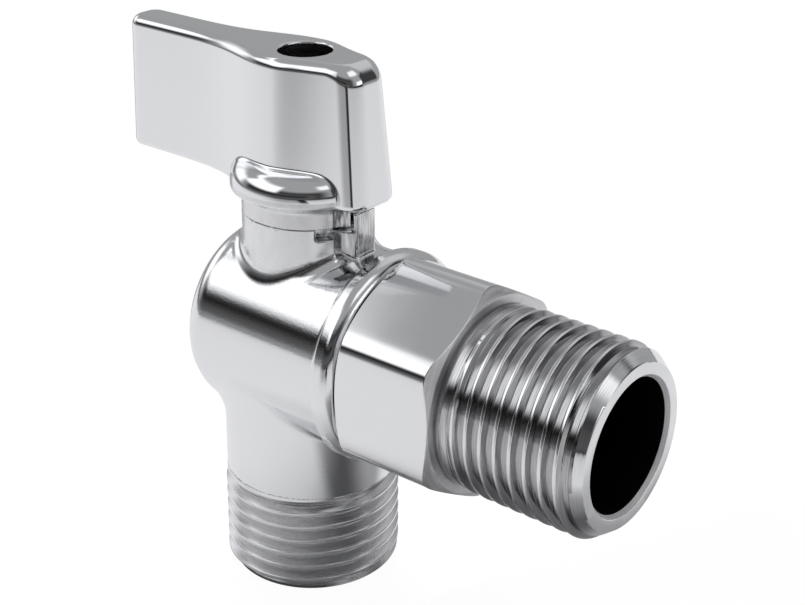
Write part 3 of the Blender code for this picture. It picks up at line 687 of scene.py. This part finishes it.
@dataclass
class PipeThread:
    """A right-hand pipe thread with flat crests and roots, on a sleeve with a bore."""

    name: str
    body_node: str
    slot: Slot
    shoulder: float
    end: float
    crest_start: float
    bore_radius: float
    face_radius: float
    lead_slope: float
    along_x: bool
    crest_half: float
    crest: Metal
    groove: Metal
    crest_radius: float = 10.478
    pitch: float = 1.814
    root_half: float = 0.15
    run_out: float = 1.6
    lip: float = 0.35
    rim_drop: float = 0.23
    edge_round: float = 0.09
    flank: float = math.radians(27.5)
    turn_steps: int = 160
    lead_turn: float = 1.0 / 64.0
    rim_bevel: float = 0.06
    lip_depth: float = 0.5
    lip_width: float = 0.1

    def profile(self) -> Arrays:
        """One pitch of the thread: a flat crest, straight flanks and half of the flat root at each end.

        Returns:
            The ways along the axis from the crest's middle, the radii there, and which belong to the crest.
        """
        half = self.pitch / 2.0
        root = self.crest_radius - (half - self.crest_half - self.root_half) / math.tan(self.flank)
        foot, flat, top = half - self.root_half, self.crest_half, self.crest_radius
        corners = ((-foot, root), (-flat, top), (flat, top), (foot, root))
        inner = [(place, size, self.edge_round) for place, size in corners]
        along, across, source = soft_corners([(-half, root, 0.0), *inner, (half, root, 0.0)], steps=4)
        return along, across, (source == 2) | (source == 3)

    def surface(self) -> Surface:
        """The sleeve: the thread's profile carried along its helix, then an end face, a bore and a back.

        A point at turn angle t and offset v lies at height start + pitch t / 2 pi + v, with the profile's
        radius, limited near the free end by a cone and near the shoulder by a run-out. Points past an end
        lie on its rim.

        Returns:
            The closed sleeve.
        """
        low, high = min(self.shoulder, self.end), max(self.shoulder, self.end)
        offset, form, on_crest = self.profile()
        turns = math.ceil((high - low) / self.pitch) + 3
        step = np.arange(turns * self.turn_steps + 1)
        angle = 2.0 * math.pi * (step % self.turn_steps) / self.turn_steps
        rise = self.pitch * (step / self.turn_steps - self.lead_turn - 1.0)
        first = low + (self.crest_start - low) % self.pitch - self.pitch
        height = first + rise[:, None] + offset
        radius = np.broadcast_to(form, height.shape)
        kept = np.clip(height, low, high)
        lead = self.face_radius + np.abs(kept - self.end) * self.lead_slope
        depth = ramp(np.abs(kept - self.shoulder), 0.0, self.run_out)
        rim = self.crest_radius - self.rim_drop
        radius = np.where(kept == height, rim + (radius - rim) * depth, rim)
        on_lead = lead < radius
        radius = np.minimum(radius, lead)
        helix = turned(radius, angle[:, None], kept)
        columns = len(offset)
        row = np.arange(len(step) - 1)[:, None] * columns
        cell = row + np.arange(columns - 1)
        threads = np.stack((cell, cell + columns, cell + columns + 1, cell + 1), -1).reshape(-1, 4)
        bright = np.where(on_lead, True, on_crest)
        bright = bright[1:, 1:] & bright[:-1, 1:] & bright[1:, :-1] & bright[:-1, :-1]
        skins = np.where(bright, Skin.PLATE, Skin.GROOVE).reshape(-1)

        outward = 1.0 if self.end > self.shoulder else -1.0
        inner = self.bore_radius - self.lip
        rows = [
            (self.end, min(self.face_radius, self.crest_radius), Skin.PLATE),
            (self.end, self.bore_radius + self.rim_bevel, Skin.PLATE),
            (self.end - outward * self.rim_bevel, self.bore_radius, Skin.PLATE),
            (self.end - outward * self.lip_depth, inner, Skin.LIP),
            (self.end - outward * (self.lip_depth + self.lip_width), inner, Skin.BORE),
            (self.shoulder, inner, Skin.BORE),
            (self.shoulder, rim, Skin.BORE),
        ]
        place, size, skin = (np.array(column)[:, None] for column in zip(*rows))
        around = 2.0 * math.pi * np.arange(self.turn_steps) / self.turn_steps
        points = np.concatenate((helix, turned(size, around, place)))
        if self.along_x:
            points = points[:, (2, 1, 0)] * (1.0, 1.0, -1.0)
        wall = grid_faces(len(rows), self.turn_steps, loop=False) + len(helix)
        faces = np.concatenate((threads, wall if outward > 0 else wall[:, ::-1]))
        skins = np.concatenate((skins, np.repeat(skin[1:], self.turn_steps)))
        return closed_surface(points, faces, skins)

    def build(self) -> None:
        """Make the sleeve's mesh and dress it."""
        stretch = ALONG_X if self.along_x else ALONG_Z
        finishes = {
            Skin.PLATE: replace(self.crest, stretch=stretch).material(self.name + "_plate"),
            # The bore takes the painted shade.
            Skin.BORE: BORE_SHADE.material(self.name + "_bore"),
            # The grooves take the darker colour, painted shade.
            Skin.GROOVE: replace(self.groove, stretch=stretch).material(self.name + "_groove"),
            Skin.LIP: ROUGH_CHROME.material(self.name + "_lip"),
        }
        add_piece(self.name, self.surface(), finishes, Body.FIXED, self.body_node)


@dataclass
class InletConnector:
    """The connector behind the inlet thread: spigot, spanner hexagon, undercut and ring."""

    start: float = 9.2
    spigot_radius: float = 9.2
    hex_start: float = 13.6
    hex_end: float = 26.35
    flat_radius: float = 11.4
    corner_power: float = 16.0
    columns: int = 360
    chamfer: float = math.radians(27)
    face_radius: float = 11.2
    undercut_end: float = 26.6
    undercut_radius: float = 9.8
    ring_radius: float = 10.278
    thread_start: float = 27.9
    bore_radius: float = 7.7
    bore_floor: float = 19.7
    port_radius: float = 4.3
    taper_end: float = 16.7

    def hexagon(self) -> tuple[Array, Array]:
        """The soft hexagon, with corners up and down, as angles about the axis and radii.

        Its flats swell into its corners: the radius is the flats' one over (sum of share ^ p) ^ (1 / p). A
        share is the cosine between the direction and a flat's own one.

        Returns:
            The angles and the radii.
        """
        angle = 2.0 * math.pi * np.arange(self.columns) / self.columns
        flats = math.pi / 3.0 * (np.arange(6)[:, None] + 0.5)
        share = np.maximum(np.cos(angle - flats), 0.0) ** self.corner_power
        return angle, self.flat_radius / share.sum(0) ** (1.0 / self.corner_power)

    def surface(self) -> Surface:
        """A profile along the axis for each direction round it; the hexagon's ends are turned to a cone.

        The cone meets the hexagon at the way (radius - face radius) tan(chamfer) from an end.

        Returns:
            The closed connector.
        """
        angle, radius = self.hexagon()
        fall = (radius - self.face_radius) * math.tan(self.chamfer)
        rows = [
            (self.start, self.spigot_radius, 0.2),
            (self.hex_start, self.spigot_radius, 0.1),
            (self.hex_start, self.face_radius, 0.1),
            (self.hex_start + fall, radius, 0.12),
            (self.hex_end - fall, radius, 0.08),
            (self.hex_end, self.face_radius, 0.12),
            (self.hex_end, self.undercut_radius, 0.15),
            (self.undercut_end, self.undercut_radius, 0.15),
            (self.undercut_end, self.ring_radius, 0.15),
            (self.thread_start, self.ring_radius, 0.02),
            (self.thread_start, self.bore_radius, 0.0),
            (self.bore_floor, self.bore_radius, 0.0),
            (self.taper_end, self.port_radius, 0.0),
            (self.start, self.port_radius, 0.0),
        ]
        along, across, source = soft_corners(rows)
        points = turned(across, angle, along)[:, (2, 1, 0)]
        faces = grid_faces(len(along), len(angle), loop=True)
        after = np.roll(source, -1)
        near_edge, far_edge, end_face, bore = 3, 4, 6, 10
        skin = np.select(
            [source >= bore, after < near_edge, after == near_edge, after == far_edge, after <= end_face],
            [Skin.BORE, Skin.RING, Skin.CHAMFER, Skin.PLATE, Skin.CHAMFER],
            Skin.RING,
        )
        skin = np.where((source == near_edge) & (after == near_edge), Skin.PLATE, skin)
        return closed_surface(points, faces, np.repeat(skin, len(angle)))

    def build(self) -> None:
        """Make the connector's mesh and dress it."""
        finishes = {
            Skin.PLATE: replace(CHROME, roughness=0.06).material("connector_plate"),
            # The bore takes the painted shade.
            Skin.BORE: BORE_SHADE.material("connector_bore"),
            Skin.CHAMFER: replace(ROUGH_CHROME, roughness=0.4).material("connector_chamfer"),
            # The ring takes the grooves' finish, with its painted shade.
            Skin.RING: replace(GROOVE, stretch=ALONG_X).material("connector_ring"),
        }
        add_piece("inlet_hexagon", self.surface(), finishes, Body.FIXED, "inlet_connector")


@dataclass
class WingHandle:
    """The wing handle: a thin wing that flares into a hub and tapers to a nose, on a collar and skirt."""

    foot: float = 17.5
    top: float = 33.6
    rise_span: Span = (-0.2, 1.2)
    tail_reach: float = 26.63
    tail_draft: float = 0.15
    wing_half: float = 2.85
    wing_draft: float = 0.4
    crest: float = -0.7
    hub_half: float = 5.95
    hub_draft: float = 0.75
    flare: float = 8.2
    flare_power: float = 2.2
    softness: float = 2.4
    hollowness: float = 4.4
    nose_reach: float = 10.5
    nose_draft: float = 1.3
    nose_half: float = 3.7
    top_round: float = 1.25
    nose_rim: float = 2.3
    side_slope: float = 0.97
    corner_span: Span = (-4.0, 4.0)
    nose_span: Span = (5.8, 9.0)
    end_round: float = 1.9
    nose_round: float = 2.1
    foot_round: float = 0.85
    collar_radius: float = 8.76
    collar_top: float = 21.2
    collar_round: float = 2.4
    collar_foot: float = 17.7
    collar_under: float = 0.6
    wing_fillet: float = 0.4
    skirt_radius: float = 7.53
    skirt_foot: float = 15.18
    skirt_bore: float = 6.5
    skirt_fillet: float = 0.8
    skirt_edge: float = 0.02
    skirt_drop: float = 2.7
    notch_face: float = 1.95
    notch_top: float = 17.65
    lug_face: float = 7.18
    lug_foot: float = 15.3
    lug_root: float = 4.0
    lug_lap: float = 0.5
    notch_reach: float = 9.7
    cut_rim: float = 0.15
    well_rim: float = 0.25
    face_zone: float = 0.1
    side_zone: float = 0.06
    well_zone: float = 0.05
    well_bevel: float = 0.3
    lug_zone: float = 5.0
    well_radius: float = 3.05
    well_floor: float = 23.8
    shank_hole: float = 2.3
    socket_half: float = 3.0
    socket_top: float = 21.8

    def half_width(self, x: Array, rise: Array) -> Array:
        """Half of the plan width: a bell curve from the wing up to the hub, then a taper that dies away.

        Args:
            x: Place along the wing.
            rise: Share of the height, from the foot to the top.

        Returns:
            Half of the width there.
        """
        wing = self.wing_half - self.wing_draft * rise
        hub = self.hub_half - self.hub_draft * rise
        nose = self.nose_half - self.hub_draft * rise
        offset = x - self.crest
        flared = wing + (hub - wing) * np.exp(-(np.abs(offset / self.flare) ** self.flare_power))
        reach = self.nose_reach - self.nose_draft * rise - self.crest
        fall = np.hypot(offset, self.softness) - self.softness
        span = np.hypot(reach, self.softness) - self.softness
        tapered = hub + (nose - hub) * np.expm1(-fall / self.hollowness) / np.expm1(-span / self.hollowness)
        return np.where(offset < 0.0, flared, tapered)

    def shape(self, x: Array, y: Array, z: Array) -> Array:
        """Field of the handle: the drafted wing and the turned collar, run together, less its hollows."""
        plan = np.hypot(x, y)
        rise = np.clip((z - self.foot) / (self.top - self.foot), *self.rise_span)
        side = (np.abs(y) - self.half_width(x, rise)) * self.side_slope
        tail = -self.tail_reach + self.tail_draft * rise - x
        ends = sharp_and(tail, x - self.nose_reach + self.nose_draft * rise)
        corner = self.end_round + (self.nose_round - self.end_round) * ramp(x, *self.corner_span)
        rim = self.top_round + (self.nose_rim - self.top_round) * ramp(x, *self.nose_span)
        wing = rounded_and(rounded_and(side, ends, corner), z - self.top, rim)
        wing = rounded_and(wing, self.foot - z, self.foot_round)
        collar = rounded_and(plan - self.collar_radius, z - self.collar_top, self.collar_round)
        collar = rounded_and(collar, self.collar_foot - z, self.collar_under)
        skirt = sharp_and(plan - self.skirt_radius, z - self.collar_top + self.skirt_drop)
        collar = filleted_or(collar, skirt, self.skirt_fillet)
        collar = rounded_and(collar, self.skirt_foot - z, self.skirt_edge)
        form = filleted_or(wing, collar, self.wing_fillet)
        lug = sharp_and(self.past_lug(x, y), y + self.notch_face, self.lug_root - x)
        lug = sharp_and(lug, self.lug_foot - z, z - self.foot - self.lug_lap)
        form = filleted_or(form, lug, self.cut_rim)
        bore = sharp_and(plan - self.skirt_bore, z - self.foot)
        notch = sharp_and(-self.notch_face - x, -self.notch_face - y, z - self.notch_top)
        notch = sharp_and(notch, plan - self.notch_reach)
        socket = sharp_and(np.abs(x) - self.socket_half, np.abs(y) - self.socket_half, z - self.socket_top)
        form = rounded_cut(form, sharp_or(bore, notch, socket), self.cut_rim)
        well = sharp_and(plan - self.well_radius, self.well_floor - z)
        shank = sharp_and(plan - self.shank_hole, self.foot - z)
        return rounded_cut(form, sharp_or(well, shank), self.well_rim)

    def past_lug(self, x: Array, y: Array) -> Array:
        """How far a place lies past the lug's face, which looks half-way between inlet and front."""
        return (x - y) / math.sqrt(2.0) - self.lug_face

    def build(self) -> None:
        """Make the handle's mesh and dress it. The screw well's faces take a darker finish, painted shade in
        the well.
        """
        lines = (
            graded(-27.2, 11.2, 0.26, 0.165, [(-9.2, 9.2)]),
            graded(-9.4, 9.4, 0.185, 0.165, [(-5.0, 5.0)]),
            graded(14.9, 34.1, 0.24, 0.15, [(15.0, 21.5), (32.0, 34.0)]),
        )
        surface = net(self.shape, lines)
        x, y, z = surface.points[surface.faces].mean(1).T
        plan = np.hypot(x, y)
        # The screw well's faces, which take the painted shade.
        dark = (plan < self.well_radius + self.well_zone) & (z > self.socket_top)
        dark &= z < self.top - self.well_bevel
        below = self.collar_top - self.collar_round - self.face_zone
        low = (z < self.foot - self.face_zone) & (plan < self.collar_radius + self.face_zone)
        low |= (z < below) & (np.abs(plan - self.collar_radius) < self.side_zone)
        lug = low & (x > self.lug_zone) & (np.abs(self.past_lug(x, y)) < self.face_zone)
        surface.skins = np.select([dark, lug, low], [Skin.WELL, Skin.LUG, Skin.SKIRT], Skin.PLATE)
        finishes = {
            Skin.PLATE: CHROME.material("handle_plate"),
            Skin.WELL: WELL.material("handle_well"),
            Skin.SKIRT: replace(SATIN_CHROME, roughness=0.32).material("skirt_plate"),
            Skin.LUG: replace(CAST_CHROME, tone=0.12).material("lug_face"),
        }
        add_piece("wing_handle", surface, finishes, Body.LEVER, "handle")


@dataclass
class InnerPieces:
    """The pieces inside the valve, whose solids stay and get their finishes."""

    def dress(self) -> None:
        """Give each solid that stays a material of its own."""
        finishes = {
            CHROME: ("ball",),
            BRASS: ("stem",),
            STEEL: ("handle_screw", "spring_washer"),
            PLASTIC: ("seat_front", "seat_rear", "stem_thrust_washer"),
            RUBBER: ("connector_seal", "stem_o_ring_lower", "stem_o_ring_upper"),
        }
        for finish, nodes in finishes.items():
            for node in nodes:
                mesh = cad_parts[node].data
                mesh.materials.clear()
                mesh.materials.append(finish.material(node + "_finish"))
                LOG.info("%s keeps its solid", node)


@dataclass(frozen=True)
class Panel:
    """A soft-edged patch of the room round the valve, placed by compass direction and height in degrees."""

    level: float
    middle: float
    half: float
    low: float
    high: float
    blur_across: float
    blur_low: float
    blur_high: float

    def over(self, below: Any, azimuth: Wire, height: Wire) -> Wire:
        """Lay the panel over what is behind it.

        Args:
            below: Brightness behind the panel.
            azimuth: Compass direction of a ray, in degrees.
            height: Height of a ray over the horizon, in degrees.

        Returns:
            The brightness with the panel.
        """
        turn = azimuth.math("WRAP", azimuth - self.middle, 180.0, -180.0)
        aside = azimuth.math("ABSOLUTE", turn)
        across = aside.step(self.half + self.blur_across, self.half - self.blur_across)
        up = height.step(self.low - self.blur_low, self.low + self.blur_low)
        down = height.step(self.high + self.blur_high, self.high - self.blur_high)
        share = across * up * down
        return share * self.level + (1.0 - share) * below


@dataclass(frozen=True)
class ShadePatch:
    """A patch of painted shade on the floor: its share, and the spans over which it comes and goes."""

    share: float
    reach: Span
    start: Span
    end: Span

    def darkens(self, azimuth: Wire, far: Wire) -> Wire:
        """How much the patch's painted shade darkens a place, by its compass direction and its way from the
        floor's middle.
        """
        return self.share * far.step(*self.reach) * azimuth.step(*self.start) * azimuth.step(*self.end)


@dataclass
class Studio:
    """Floor, light, room and camera."""

    floor_height: float = -0.02993
    floor_reach: float = 6.0
    floor_pale: Triple = (0.8, 0.8, 0.81)
    # The colour that the painted shade darkens the floor towards.
    floor_shade: Triple = (0.04, 0.04, 0.042)
    floor_glow: float = 1.05
    floor_white: float = 0.92
    floor_middle: Triple = (-0.025, 0.0, 0.0)
    # Painted shade on the floor, which mirrors show: a dimmer floor and a darker stripe towards the camera,
    # a painted shadow under the connector, and a darker patch behind on the left.
    shade_patches: tuple[ShadePatch, ...] = (
        ShadePatch(0.45, (0.07, 0.23), (-125.0, -85.0), (-49.0, -54.0)),
        ShadePatch(0.55, (0.07, 0.23), (-67.0, -60.0), (-49.0, -54.0)),
        ShadePatch(0.6, (0.075, 0.045), (-75.0, -50.0), (90.0, 60.0)),
        ShadePatch(0.55, (0.09, 0.13), (105.0, 125.0), (178.0, 165.0)),
    )
    eye: Triple = (0.06856, -0.12251, 0.08114)
    azimuth: float = 39.819
    elevation: float = 22.428
    lens: float = 70.21
    shift: Span = (0.03248, -0.09484)
    room: float = 0.37
    room_color: tuple[float, ...] = (0.985, 0.99, 1.0, 1.0)
    panels: tuple[Panel, ...] = (
        Panel(0.6, 100.0, 35.0, 30.0, 65.0, 12.0, 9.0, 9.0),
        Panel(1.1, 2.0, 28.0, 47.0, 66.0, 8.0, 4.0, 6.0),
        Panel(0.05, -62.0, 42.0, -4.0, 37.0, 12.0, 4.0, 8.0),
        Panel(0.2, -168.0, 16.0, -6.0, 4.0, 8.0, 4.0, 3.0),
        Panel(0.1, -95.0, 57.0, 2.0, 22.5, 10.0, 4.0, 4.0),
        Panel(0.012, -97.0, 50.0, 11.0, 19.0, 8.0, 6.0, 4.0),
        Panel(0.02, 2.0, 26.0, -4.0, 7.0, 6.0, 3.0, 2.0),
        Panel(0.05, 45.0, 17.0, 4.0, 40.0, 6.0, 5.0, 4.0),
        Panel(1.5, 12.0, 15.0, 9.0, 23.0, 5.0, 2.5, 4.0),
        Panel(1.35, -130.0, 33.0, 25.5, 54.0, 6.0, 6.0, 7.0),
        Panel(1.25, -181.0, 17.0, 8.0, 30.0, 7.0, 4.0, 6.0),
        Panel(1.35, -178.0, 22.0, 47.0, 53.0, 8.0, 3.0, 3.5),
    )
    ambient: float = 0.25
    lamp_size: float = 0.7
    lamp_place: Triple = (-0.45, 0.35, 1.2)
    lamp_power: float = 16.0

    def camera(self) -> None:
        """The photograph's camera."""
        data = bpy.data.cameras.new("camera")
        data.lens = self.lens
        data.shift_x, data.shift_y = self.shift
        data.clip_start = 0.005
        camera = add("camera", data)
        camera.location = self.eye
        camera.rotation_euler = (math.radians(90.0 - self.elevation), 0.0, math.radians(self.azimuth))
        bpy.context.scene.camera = camera

    def floor(self) -> None:
        """A pale floor with patches of painted shade, which mirrors show; white to the camera but for the
        valve's shadow and a faint trace of the painted shade.
        """
        mesh = bpy.data.meshes.new("floor")
        turns = ((-1.0, -1.0), (1.0, -1.0), (1.0, 1.0), (-1.0, 1.0))
        corners = [(x * self.floor_reach, y * self.floor_reach, self.floor_height) for x, y in turns]
        mesh.from_pydata(corners, [], [(0, 1, 2, 3)])
        floor = add("floor", mesh)
        material, board = blank_material("pale_floor")
        azimuth, _, far = self.direction(board, "Object", self.floor_middle)
        # Painted shade: the patches darken the floor's colour.
        shade_share = sum(patch.darkens(azimuth, far) for patch in self.shade_patches)
        tone = board.tint(shade_share, self.floor_pale, self.floor_shade)
        paper = board.node("ShaderNodeBsdfDiffuse", {}, {"Color": tone})
        glow = board.node("ShaderNodeEmission", {}, {"Color": WHITE, "Strength": self.floor_glow})
        camera = board.node("ShaderNodeLightPath", {}, {}, "Is Camera Ray")
        both = board.node("ShaderNodeMixShader", {}, {0: camera * self.floor_white, 1: paper, 2: glow})
        board.node("ShaderNodeOutputMaterial", {}, {"Surface": both})
        mesh.materials.append(material)

    def direction(self, board: Board, source: str, middle: Sequence[float]) -> tuple[Wire, Wire, Wire]:
        """Compass direction and height of a place in degrees, and its way from a vertical axis.

        Args:
            board: The tree to add nodes to.
            source: The texture coordinate that gives the place.
            middle: The point that it is seen from.

        Returns:
            The direction, the height and the way.
        """
        place = board.node("ShaderNodeTexCoord", {}, {}, source)
        moved = board.node("ShaderNodeVectorMath", {"operation": "SUBTRACT"}, {0: place, 1: middle})
        x, y, z = (board.node("ShaderNodeSeparateXYZ", {}, {0: moved}, axis) for axis in "XYZ")
        far = x.math("SQRT", x * x + y * y)
        azimuth = x.math("ARCTAN2", y, x) * math.degrees(1.0)
        height = x.math("ARCTAN2", z, far) * math.degrees(1.0)
        return azimuth, height, far

    def lamp(self) -> None:
        """A broad soft lamp overhead, which the plating doesn't mirror."""
        data = bpy.data.lights.new("overhead", "AREA")
        data.size = self.lamp_size
        data.energy = self.lamp_power
        lamp = add("overhead", data)
        lamp.location = self.lamp_place
        lamp.rotation_euler = lamp.location.to_track_quat("Z", "Y").to_euler()
        lamp.visible_camera = False
        lamp.visible_glossy = False
        lamp.visible_transmission = False

    def world(self) -> None:
        """White to the camera, even dim light on matt things, and a room of panels in mirrors and glass."""
        world = bpy.data.worlds.new("studio")
        world.use_nodes = True
        bpy.context.scene.world = world
        board = Board(world.node_tree)
        azimuth, height, _ = self.direction(board, "Generated", (0.0, 0.0, 0.0))
        level = self.room
        for panel in self.panels:
            level = panel.over(level, azimuth, height)
        lights = ((self.room_color, level), (WHITE, self.ambient), (WHITE, 1.0))
        inputs = ({"Color": color, "Strength": strength} for color, strength in lights)
        room, even, blank = (board.node("ShaderNodeBackground", {}, light) for light in inputs)
        rays = ("Is Camera Ray", "Is Glossy Ray", "Is Transmission Ray")
        camera, glossy, through = (board.node("ShaderNodeLightPath", {}, {}, ray) for ray in rays)
        mirrored = glossy.math("MAXIMUM", glossy, through)
        lit = board.node("ShaderNodeMixShader", {}, {0: mirrored, 1: even, 2: room})
        seen = board.node("ShaderNodeMixShader", {}, {0: camera, 1: lit, 2: blank})
        board.node("ShaderNodeOutputWorld", {}, {"Surface": seen})

    def build(self) -> None:
        """Set the stage."""
        bpy.context.scene.view_settings.view_transform = "Standard"
        self.camera()
        self.floor()
        self.lamp()
        self.world()


def main() -> None:
    """Build the valve's visible pieces in order, then the studio."""
    logging.basicConfig(level=logging.INFO, format="%(name)s: %(message)s")
    ForgedBody().build()
    PipeThread(
        "outlet_thread",
        "valve_body",
        Slot.BODY,
        shoulder=-17.33,
        end=-29.93,
        crest_start=-29.93,
        bore_radius=7.2,
        face_radius=9.75,
        lead_slope=1.5,
        along_x=False,
        crest_half=0.18,
        lip=0.1,
        crest=replace(CREST, roughness=0.1, line_height=0.003),
        # The grooves' darker colour is painted shade.
        groove=replace(GROOVE, color=(0.74, 0.74, 0.755), roughness=0.2, tone=0.9, line_height=0.004),
    ).build()
    InletConnector().build()
    PipeThread(
        "inlet_thread",
        "inlet_connector",
        Slot.CONNECTOR,
        shoulder=27.8,
        end=43.7,
        crest_start=27.2,
        bore_radius=7.7,
        face_radius=8.978,
        lead_slope=0.78,
        along_x=True,
        crest_half=0.17,
        root_half=0.37,
        crest=replace(CREST, tone=0.92),
        # The grooves' darker colour is painted shade.
        groove=replace(GROOVE, color=(0.5, 0.5, 0.512), tone=0.78),
    ).build()
    WingHandle().build()
    InnerPieces().dress()
    Studio().build()


if __name__ == "__main__":
    main()
